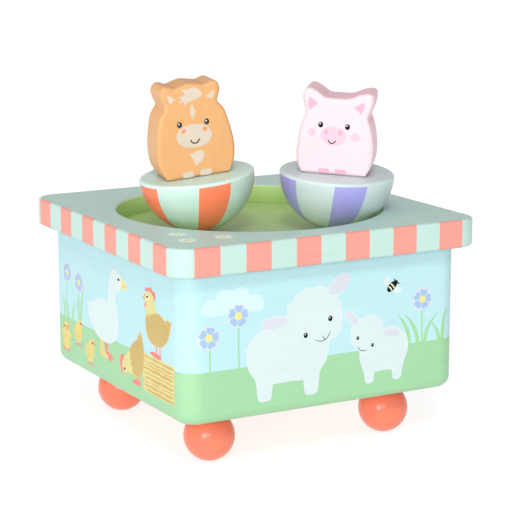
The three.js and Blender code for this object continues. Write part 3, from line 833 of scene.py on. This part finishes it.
def standing_hen(art):
    for x in (83.3, 85.7):
        art.line(COMB, [(x, 25.4), (x + 0.1, 23), (x, 21.2)], 0.75)
    art.blob(COMB, [
        (78.2, 21.7, 1), (80.2, 22.3), (82.4, 22.5), (84.4, 22.3), (86.3, 22.2), (86.2, 20.9), (82, 20.8),
        (80, 21.2)])
    body = [
        (75.8, 33.4), (75.7, 30), (76.4, 27.4), (78.2, 25.6), (81, 24.7), (84.6, 24.6), (88, 25.6),
        (90.8, 27.8), (92.6, 30.6), (94, 34.7, 1), (92.7, 34.1, 1), (91.4, 34.9, 1), (90.4, 33.7, 1),
        (88.6, 34.3), (86, 35.2), (83.4, 35.4), (80, 34.8), (77.4, 34.4)]
    art.blob(HEN_EDGE, body)
    art.blob(HEN_TAN, shrunk(body, 0.95))
    hatched(art, 84.2, 30, 7.3, 4.5, (28, -32))
    art.blob(HEN_YELLOW, [
        (75.9, 33.6), (76.4, 36), (76, 38.4), (76.9, 40.4), (79, 41.4), (81.2, 40.8), (82.2, 38.6),
        (82.9, 36.6), (84.3, 35.1, 1), (82.6, 34.6, 1), (82, 35.1, 1), (80.6, 33.9, 1), (79.9, 34.5, 1),
        (78.6, 33.1, 1), (77.6, 33.8, 1), (76.2, 32.6, 1)])
    art.blob(COMB, [
        (75.8, 40.9), (76.6, 42), (78, 42), (79.6, 42.6), (80.8, 41.7, 1), (82.6, 41.3), (83.1, 39.9),
        (82.3, 39), (81.4, 40.3), (79.6, 41.2), (77.6, 41)])
    art.blob(BEAK, [(76.3, 39.9), (73.6, 38.5, 1), (76.2, 37.9)])
    art.oval(COMB, 76, 36.5, 0.6, 1, -12)
    art.oval(HEN_FACE, 77.5, 39.1, 1.35, 0.75, 8)
    art.oval(INK, 77.5, 39.2, 0.8, 0.34, 8)


def pecking_hen(art):
    for x in (68.9, 70.9):
        art.line(COMB, [(x, 12.6), (x + 0.1, 11), (x, 9.8)], 0.7)
    art.blob(COMB, [(65, 9.2), (67.6, 10.3), (71, 10.4), (71.6, 9), (68, 8.8)])
    body = [
        (63.4, 18.2), (64.6, 20.6), (67, 22.6), (69.6, 24), (69.7, 25.6, 1), (70.7, 25.2, 1),
        (71.9, 27.3, 1), (73.2, 25), (74.3, 21.4), (74.1, 17.2), (72.6, 13.4), (69.6, 11.3), (66.6, 11.8),
        (64.4, 14.4)]
    art.blob(HEN_EDGE, body)
    art.blob(HEN_TAN, shrunk(body, 0.93))
    hatched(art, 69.2, 17.6, 4.1, 5.2, (60, 8))
    art.blob(BEAK, [(60.6, 11.2), (61.5, 9.7, 1), (62.8, 11.3)])
    art.blob(HEN_YELLOW, [
        (63.6, 19.2, 1), (61.6, 17.2), (59.2, 16), (58.1, 14), (58.6, 11.6), (60.6, 10.9), (63.4, 11.7),
        (66.9, 11.7, 1), (65.4, 12.9, 1), (66, 13.9, 1), (64.6, 14.8, 1), (65.1, 16, 1), (64, 16.8, 1),
        (64.4, 18, 1)])
    art.blob(COMB, [
        (57.3, 16.2), (59.4, 16.7), (59.3, 15.4), (58.3, 13.8), (58.6, 12), (58, 11.2), (57.2, 12),
        (56.5, 13.8)])
    art.blob(COMB, [(58.4, 11.9), (57.4, 10.6, 1), (59.4, 11)])
    art.oval(INK, 60.1, 12.25, 0.65, 0.36, 20)


def left_wall():
    art = Art(wall_surface(3), WALL_CORNER, BENDS)
    for line in ([(11, 27.5), (12, 23.5), (12.4, 19.2)], [(13.2, 26.3), (14.6, 23), (15.4, 19.2)],
                 [(21.2, 26.2), (19.4, 22.8), (18.6, 19.2)], [(23, 29), (23.6, 24.5), (24.2, 19.6)],
                 [(28.6, 33.4), (26.6, 27), (25.4, 19.6)]):
        blade(art, line, 1.4)
    for x, top in ((14.5, 32.6), (24.4, 30.8)):
        art.line(LEAF, [(x, top), (x - 0.1, 25), (x, 19.6)], 0.5)
    flower(art, 14.9, 35.3, 3.1, 75)
    flower(art, 24.5, 33.6, 3.1, 78)
    goose(art)
    bale(art)
    standing_hen(art)
    pecking_hen(art)
    facing_chick(art)
    standing_chick(art)
    standing_chick(art, 9.6, -4.5)
    art.done("left_wall_painting", "case")


def plain_wall(side, name, cloud_at, blooms, tufts):
    """The two walls turned away in the picture get the same meadow with flowers and a cloud."""
    art = Art(wall_surface(side), WALL_CORNER, BENDS)
    for dx, dy, k in cloud_at:
        cloud(art, dx, dy, k)
    for x, y, turn in blooms:
        art.line(LEAF, [(x, y - 3), (x + 0.2, (y + 19.6) / 2), (x + 0.1, 19.6)], 0.55)
        flower(art, x, y, 3.2, turn)
    for dx, flip in tufts:
        grass_tuft(art, dx, flip)
    art.done(name, "case")


# ---- lid daisies

def make_daisies():
    art = Art(lambda x, y, h: (x, y, LID_TOP + h))
    for x, y, turn in ((-42.8, -31.9, 10), (-44.6, -42, 40), (-32.2, -42.1, 25)):
        for k in range(8):
            c, s = heading(turn + 45 * k)
            art.oval(DAISY, x + 1.75 * c, y + 1.75 * s, 1.25, 0.72, turn + 45 * k)
        art.oval(POLLEN, x, y, 0.95)
    art.done("lid_daisies", "case")


# ---- the two animals

def joint_point(name):
    for j in frame["record"]["behaviour"]["joints"]:
        if j["name"] == name:
            return Vector(j["pos_m"]) / MM
    raise ValueError(name)


def stand(spec, centre):
    """Millimetre matrix from an animal's own frame (front towards -Y) to the leaning rest place."""
    up = Vector((spec["lean"][0], spec["lean"][1], 1)).normalized()
    yaw = Matrix.Rotation(radians(spec["facing"] + 90), 4, "Z")
    return Matrix.Translation(centre) @ Vector((0, 0, 1)).rotation_difference(up).to_matrix().to_4x4() @ yaw


def gore_bearings(gores):
    """Bearings round a base, in degrees: every edge of a gore, and steps of about 4 degrees between."""
    edges = sorted(a % 360 for gore in gores for a in gore)
    out = []
    for a, b in zip(edges, edges[1:] + [edges[0] + 360]):
        steps = max(1, round((b - a) / 4))
        out += [a + (b - a) * s / steps for s in range(steps)]
    return out


def make_base(tag, spec, centre, gores, ground, colour):
    """Half ball with a round rim and a flat top, its gores laid out round their own axis."""
    up = Vector((spec["lean"][0], spec["lean"][1], 1)).normalized()
    pole = Vector(spec["gore_axis"]).normalized()
    east = (Vector((1, 0, 0)) - pole * pole.x).normalized()
    north = pole.cross(east)
    bearings = gore_bearings(gores)
    rim_sine = (BASE_FLAT - BASE_ROUND) / BASE_R
    hole_sine = -sqrt(1 - (MAGNET_HOLE / BASE_R) ** 2)
    meridians, outward = [], []
    for bearing in bearings:
        c, s = heading(bearing)
        level = east * c + north * s
        reach, tilt = hypot(level @ up, pole @ up), atan2(level @ up, pole @ up)
        low = asin(hole_sine / reach) - tilt
        high = asin(rim_sine / reach) - tilt
        line = []
        for s in range(MERIDIAN_STEPS + 1):
            t = low + (high - low) * s / MERIDIAN_STEPS
            line.append((level * cos(t) + pole * sin(t)) * BASE_R)
        meridians.append(line)
        outward.append((line[-1] - up * (line[-1] @ up)).normalized())
    rings = [[o * MAGNET_HOLE + up * (MAGNET_DEPTH - BASE_R) for o in outward]]
    rings += [[line[s] for line in meridians] for s in range(MERIDIAN_STEPS + 1)]
    rim_band = len(rings)
    flat_r = BASE_R - BASE_ROUND
    rim = arc(flat_r, BASE_FLAT - BASE_ROUND, BASE_ROUND, 0, 90, 6)[1:]
    for r, z in rim + [(flat_r * 0.6, BASE_FLAT)]:
        rings.append([o * r + up * z for o in outward])
    verts, faces, where = capped(rings, up * (MAGNET_DEPTH - BASE_R), up * BASE_FLAT)
    slots = []
    for j, i in where:
        mid = bearings[i] + 0.5
        inside = any(0 <= (mid - lo) % 360 <= hi - lo for lo, hi in gores)
        slots.append(1 if inside and 2 <= j < rim_band else 0)
    piece(tag + "_half_ball", [v + centre for v in verts], faces, [ground, colour], tag, [tag + "_base"],
          slots)


def rounding_limits(line, normals):
    """How far each point of a closed outline can move inwards without folding over its neighbours."""
    share, slope, passes = 0.75, 0.3, 40
    n = len(line)
    gaps = [(line[(i + 1) % n] - line[i]).length for i in range(n)]
    limits = []
    for i in range(n):
        bend = normals[i - 1].angle_signed(normals[(i + 1) % n], 0)
        span = gaps[i - 1] + gaps[i]
        limits.append(min(CUTOUT_ROUND, share * span / abs(bend)) if bend < -1e-6 else CUTOUT_ROUND)
    for _ in range(passes):
        limits = [min(limits[i], limits[i - 1] + slope * gaps[i - 1], limits[(i + 1) % n] + slope * gaps[i])
                  for i in range(n)]
    return limits


def make_cutout(tag, spec, outline, m, front, side):
    """Wooden silhouette with rounded edges; its front face and its edge can differ in colour."""
    line = smooth_line(outline, steps=6)
    normals = edge_normals(line)
    limits = rounding_limits(line, normals)
    t, r = CUTOUT_THICK / 2, CUTOUT_ROUND
    rings = []
    for out, depth in arc(0, t - r, r, 90, 0, 6) + arc(0, r - t, r, 0, -90, 6):
        moved_in = [p - nrm * limit * (1 - out / r) for p, nrm, limit in zip(line, normals, limits)]
        rings.append([m @ Vector((q.x + spec["shift"], depth, q.y + CUTOUT_FOOT)) for q in moved_in])
    verts, faces, bands = stacked(rings)
    slots = [0 if band >= len(rings) // 2 else 1 for band in bands]
    piece(tag + "_silhouette", verts, faces, [front, side], tag, [tag + "_cutout"], slots)


def face_surface(spec, m, back=False):
    """Drawing surface on the front or back of a cut-out."""
    t = CUTOUT_THICK / 2

    def at(x, y, h):
        across = x + spec["art_shift"] - ART_LEFT
        if back:
            return m @ Vector((-across, t + h, y - ART_LOW))
        return m @ Vector((across, -t - h, y - ART_LOW))
    return at


HORSE_OUTLINE = [
    (0, 0), (9.3, 0), (10.9, 1), (12.1, 3.1), (12.75, 5.3), (13.05, 9.1), (12.8, 12), (12.1, 15.8),
    (11.3, 19.3), (10.4, 21.4), (8.9, 23.4), (9.2, 24.8), (9.8, 26.3), (10, 27.8), (9.4, 29.6), (7.8, 30.2),
    (5.2, 29.5), (3, 29.9), (0, 30.4), (-2.4, 30), (-4.8, 29.4), (-6.3, 30), (-8, 30.2), (-9.3, 29.2),
    (-9.8, 27.5), (-9.2, 25), (-8.8, 23.2), (-10.2, 21.3), (-11.2, 19.2), (-12, 15.8), (-12.7, 12),
    (-12.95, 9), (-12.7, 5.3), (-12, 3), (-10.9, 1), (-9.3, 0)]
PIG_OUTLINE = [
    (0, 0), (9.4, 0), (11, 1.1), (12.1, 3.4), (12.55, 6.3), (12.5, 9.4), (11.95, 13.3), (11, 16.8),
    (10.2, 19.1), (11.2, 22.1), (11.65, 25), (11.2, 26.8), (9.4, 27.2), (6.8, 26.5), (4.7, 25.5), (2.5, 25),
    (0, 25), (-3.5, 25), (-5.3, 26), (-7.7, 27.4), (-9.6, 27.8), (-10.9, 26.8), (-11.3, 24.7),
    (-10.6, 21.9), (-10.1, 19.6), (-11.1, 16.7), (-11.85, 13.6), (-12.15, 10.1), (-12.45, 7.1), (-12.1, 3.3),
    (-11, 1.1), (-9.4, 0)]


def horse_face(m):
    art = Art(face_surface(HORSE, m))
    art.blob(CREAM, [(11.2, 32.5, 1), (12.5, 31.8), (13.8, 30.6), (13, 30.2), (11.9, 29.6), (11.6, 30.9)])
    art.blob(CREAM, [
        (26.6, 32.3, 1), (26.7, 31), (26, 29.5), (25, 29.7), (24.1, 30.2), (25, 30.9), (25.9, 31.3)])
    art.blob(CREAM, [
        (16, 33.6, 1), (18, 33.4), (20.4, 33.7), (22.1, 32.7), (22.7, 31.2), (21.6, 30.1), (19.6, 29.6),
        (17.9, 29.2), (16.4, 28, 1), (16.7, 29.6, 1), (14.7, 29.3, 1), (16, 30.5, 1), (15.2, 31.2, 1),
        (17.3, 31.8, 1)])
    art.blob(CREAM, [
        (19.2, 28.5, 1), (18.5, 26.9), (18.2, 25.8), (18.7, 24.4), (19.1, 23.4, 1), (19.5, 24.6),
        (20, 25.9), (19.7, 27)])
    eye(art, 14.35, 22.4, 0.82, True)
    eye(art, 23.4, 22.2, 0.82, True)
    art.oval(CREAM, 18.8, 18.2, 5.85, 3.8, -1, 60, 0.93)
    art.oval(NOSTRIL_TAN, 15.5, 20.1, 0.85, 0.6, 30)
    art.oval(NOSTRIL_TAN, 22.55, 19.9, 0.75, 0.75, -30)
    art.line(INK_BROWN, [
        (17.5, 17.1), (17.9, 16.2), (18.9, 15.8), (19.9, 16.2), (20.4, 17.1)], 0.4, 0.42, 0.4)
    art.blob(CREAM, [
        (16.7, 12.6), (18.2, 12.7), (19.4, 13.3), (21, 13.1), (21.4, 11.8), (21, 10.5), (20.1, 9.6),
        (19.2, 9.1), (18.3, 8.2, 1), (18, 9.4), (17.4, 11)])
    for x0, x1 in ((13.7, 17.3), (19.5, 23.3)):
        art.blob(CREAM, [
            (x0, 5.3), (x0 + 0.1, 6.5), (x0 + 0.6, 6.9), (x1 - 0.5, 6.9), (x1, 6.4), (x1 - 0.1, 5.3),
            (x1 - 0.7, 5), (x0 + 0.6, 5)])
    art.done("horse_markings", "horse")


def pig_face(m):
    art = Art(face_surface(PIG, m))
    art.blob(EAR_PINK, [
        (10.2, 29.8, 1), (11.6, 28.9), (13.2, 27.8, 1), (12, 26.6), (10.6, 25.5, 1), (9.9, 27.6)])
    art.blob(EAR_PINK, [
        (28, 29.2, 1), (28.2, 27.4), (27.2, 25.1, 1), (26, 26.3), (24.8, 27.3, 1), (26.4, 28.3)])
    eye(art, 14.4, 20.9, 0.8)
    eye(art, 23.1, 20.8, 0.8)
    art.oval(SNOUT_PINK, 18.7, 17.5, 4.15, 3.15, 0, 48)
    art.oval(NOSTRIL_PINK, 16.3, 18.7, 0.62, 0.95, -8)
    art.oval(NOSTRIL_PINK, 20.9, 18.6, 0.68, 1, 8)
    art.line(INK_BROWN, [(17.1, 16.1), (17.5, 15.4), (18.3, 15), (19.1, 15.4), (19.5, 16.1)], 0.38)
    art.oval(CHEEK_PINK, 11.7, 18.3, 1.3)
    art.oval(CHEEK_PINK, 25.8, 17.6, 1.4)
    for x0, x1 in ((14.5, 18), (19.9, 23.4)):
        art.blob(EAR_PINK, [
            (x0, 5.9), (x0 + 0.3, 6.6), (x1 - 0.5, 6.6), (x1, 6.2), (x1 - 0.1, 5.5), (x1 - 0.6, 5.3),
            (x0 + 0.7, 5.4)])
    art.done("pig_markings", "pig")


def backs(horse_m, pig_m):
    """Simple tails on the sides turned away."""
    art = Art(face_surface(HORSE, horse_m, True))
    art.blob(CREAM, [
        (19.6, 17), (18.6, 14), (18, 10.6), (18.6, 8.2), (20.2, 6.6, 1), (20.8, 8.4), (22, 7.4, 1),
        (22.2, 10.6), (21.6, 14), (20.8, 17)])
    art.blob(CREAM, [
        (17.6, 33.2), (20.4, 33.8), (23.2, 33.2), (22.8, 29.6), (21.8, 27, 1), (20.8, 28.6),
        (19.8, 26.4, 1), (18.8, 28.8), (17.8, 27.4, 1), (17.2, 30.2)])
    art.done("horse_back_markings", "horse")
    art = Art(face_surface(PIG, pig_m, True))
    art.line(EAR_PINK, [
        (18.6, 10.2), (20.6, 10.6), (22.2, 12.2), (21.6, 14), (19.8, 14.2), (19, 12.9),
        (20, 12)], 0.7, 0.62, 0.4)
    art.done("pig_tail", "pig")


# ---- key under the case

def make_key():
    """Butterfly key: two flat round wings that flow into a turned hub."""
    lo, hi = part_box("winding_key")
    z0, z1, wing_at = lo[2] / MM, hi[2] / MM, 7.2
    mid, wing_r, waist, neck = (lo[2] + hi[2]) / 2 / MM, (z1 - z0) / 2 - 0.6, 2.9, 2.2
    half = [(neck, waist), (neck + 0.9, waist + 0.35)]
    half += [(wing_at + wing_r * 1.15 * x, wing_r * y) for x, y in arc(0, 0, 1, 125, -125, 22)]
    half += [(neck + 0.9, -waist - 0.35), (neck, -waist)]
    outline = smooth_line(half + [(-x, -z) for x, z in half], steps=2)
    profile = [(0.7, 1), (0.25, 0.85), (0, 0.5), (0, -0.5), (0.25, -0.85), (0.7, -1)]
    normals = edge_normals(outline)
    rings = [[(p.x + nrm.x * inset, depth, mid + p.y + nrm.y * inset) for p, nrm in zip(outline, normals)]
             for inset, depth in profile]
    verts, faces, _ = stacked(rings)
    piece("key_wings", verts, faces, [BRASS], "key", ["winding_key"])
    hub = [(0, z0 + 1.6), (2.4, z0 + 1.6), (3, z0 + 2.2), (3.2, z0 + 3.4), (3.2, z1 - 1), (2.8, z1 - 0.2),
           (0, z1 - 0.2)]
    verts, faces, _ = turned(hub, 40)
    piece("key_hub", verts, faces, [BRASS], "key", ())


# ---- carried-over nodes

NODE_MATERIALS = (
    (RECESS_FLOOR_PAINTED_SHADE, "dance_floor"), (PLYWOOD, "bottom_panel"),
    (CASTING, "bedplate barrel_bridge comb_base cylinder_bracket governor_frame"),
    (STEEL, "comb mainspring winding_arbor"),
    (BRASS, "spring_barrel pinned_cylinder governor_wheel governor_fan"),
    (PLASTIC, "horse_magnet_cup pig_magnet_cup"),
    (MAGNET, "horse_drive_magnet pig_drive_magnet horse_base_magnet pig_base_magnet"),
    (BEECH, "magnet_carrier horse_dowel pig_dowel"))


def dress_nodes():
    """Gives every CAD node its material; screws are steel, and what is left is beech."""
    chosen = {name: mat for mat, names in NODE_MATERIALS for name in names.split()}
    for name, obj in frame["nodes"].items():
        mat = chosen.get(name, STEEL if "screw" in name else BEECH)
        if not obj.data.materials:
            obj.data.materials.append(mat)
        for s in obj.material_slots:
            s.material = mat


# ---- put it together

dress_nodes()
make_case()
make_lid()
make_feet()
make_daisies()
front_wall()
left_wall()
plain_wall(1, "right_wall_painting", [(4, 0, 1), (48, -4, 0.9)],
           [(20, 31, 70), (31, 34.5, 84), (72, 32.5, 62), (84, 35.5, 75)], [(-32, 1), (0, 1)])
plain_wall(2, "back_wall_painting", [(22, 0, 1), (50, -5, 1)],
           [(14, 33, 80), (26, 30.5, 66), (58, 31.5, 88), (88, 34, 72)], [(-42, 1), (118, -1)])

horse_at, pig_at = joint_point("horse_tilt"), joint_point("pig_tilt")
horse_m, pig_m = stand(HORSE, horse_at), stand(PIG, pig_at)
horse_gores = [(-192.5, -159.6), (-114.6, -81.6), (-40.8, -9.1), (30.9, 62.9), (102.9, 134.9)]
pig_gores = [(-203.6, -165), (-122.8, -90.1), (-41.6, -9.6), (30.4, 62.4), (102.4, 134.4)]
make_base("horse", HORSE, horse_at, horse_gores, BASE_MINT, GORE_CORAL)
# the pig's base takes the greyed mint, a painted shade
make_base("pig", PIG, pig_at, pig_gores, BASE_MINT_PAINTED_SHADE, GORE_LILAC)
make_cutout("horse", HORSE, HORSE_OUTLINE, horse_m, COAT_TAN, COAT_TAN)
make_cutout("pig", PIG, PIG_OUTLINE, pig_m, COAT_PINK, SIDE_PINK)
horse_face(horse_m)
pig_face(pig_m)
backs(horse_m, pig_m)
make_key()


# ---- floor, light and camera

AHEAD_X, AHEAD_Y = 0.4885, 0.8726      # the way the camera looks, seen from above


def make_stage():
    """A white table lit from inside, so that the white reaches every edge of the picture."""
    mesh = bpy.data.meshes.new("table")
    bm = bmesh.new()
    bmesh.ops.create_grid(bm, x_segments=4, y_segments=4, size=12)
    bm.to_mesh(mesh)
    bm.free()
    table = new_object("table", mesh)
    m = material("table_white")
    m.feed(Base_Color=m.ramp(m.noise(3, 2), [(0.3, shade(WHITE, 0.34)), (0.7, shade(WHITE, 0.36))]),
           Roughness=0.9, Specular_IOR_Level=0, Emission_Color=WHITE, Emission_Strength=0.76)
    mesh.materials.append(m.owner)


def light(name, kind, energy, place, aim, size):
    data = bpy.data.lights.new(name, kind)
    data.energy = energy
    if kind == "AREA":
        data.shape = "RECTANGLE"
        data.size = size
        data.size_y = size
    else:
        data.angle = size
    new_object(name, data, place, Vector(aim) - Vector(place))


def make_light():
    """White surroundings, brightest at the horizon on the camera's left, three soft suns and a softbox."""
    w = Nodes(bpy.data.worlds.new("studio"), "Background")
    where = w.coord.outputs["Generated"]
    split = w.add("ShaderNodeSeparateXYZ")
    fade = w.add("ShaderNodeMapRange", From_Min=0.15, From_Max=0.7, To_Min=0.8, To_Max=0.66)
    side = w.add("ShaderNodeVectorMath", operation="DOT_PRODUCT")
    side.inputs[1].default_value = (-0.8, -0.6, 0)
    lean = w.add("ShaderNodeMapRange", From_Min=-1, From_Max=1, To_Min=0.7, To_Max=1.1)
    both = w.add("ShaderNodeMath", operation="MULTIPLY")
    for start, end in ((where, split.inputs["Vector"]), (where, side.inputs[0]),
                       (split.outputs["Z"], fade.inputs["Value"]),
                       (side.outputs["Value"], lean.inputs["Value"]),
                       (fade.outputs["Result"], both.inputs[0]), (lean.outputs["Result"], both.inputs[1])):
        w.link(start, end)
    w.feed(Strength=both.outputs["Value"], Color=WHITE)
    bpy.context.scene.world = w.owner
    light("camera_side_sun", "SUN", 0.38, (-AHEAD_X, -AHEAD_Y, 0.3), (0, 0, 0), radians(8))
    light("key_sun", "SUN", 1, (-AHEAD_X, -AHEAD_Y, 1), (0, 0, 0), radians(14))
    light("left_sun", "SUN", 0.26, (-1, -0.15, 0.22), (0, 0, 0), radians(45))
    light("corner_softbox", "AREA", 2.6, (-0.62, -0.55, 0.16), (0, 0, 0.05), 0.2)


def make_camera():
    data = bpy.data.cameras.new("camera")
    data.sensor_width = 36.0
    data.lens = 127.7
    data.clip_start = 0.01
    level, rise = heading(-11.9)
    aim = Vector((AHEAD_X * level, AHEAD_Y * level, rise))
    bpy.context.scene.camera = new_object("camera", data, (-0.29533, -0.53805, 0.18278), aim)


make_stage()
make_light()
make_camera()
bpy.context.scene.view_settings.view_transform = "Standard"
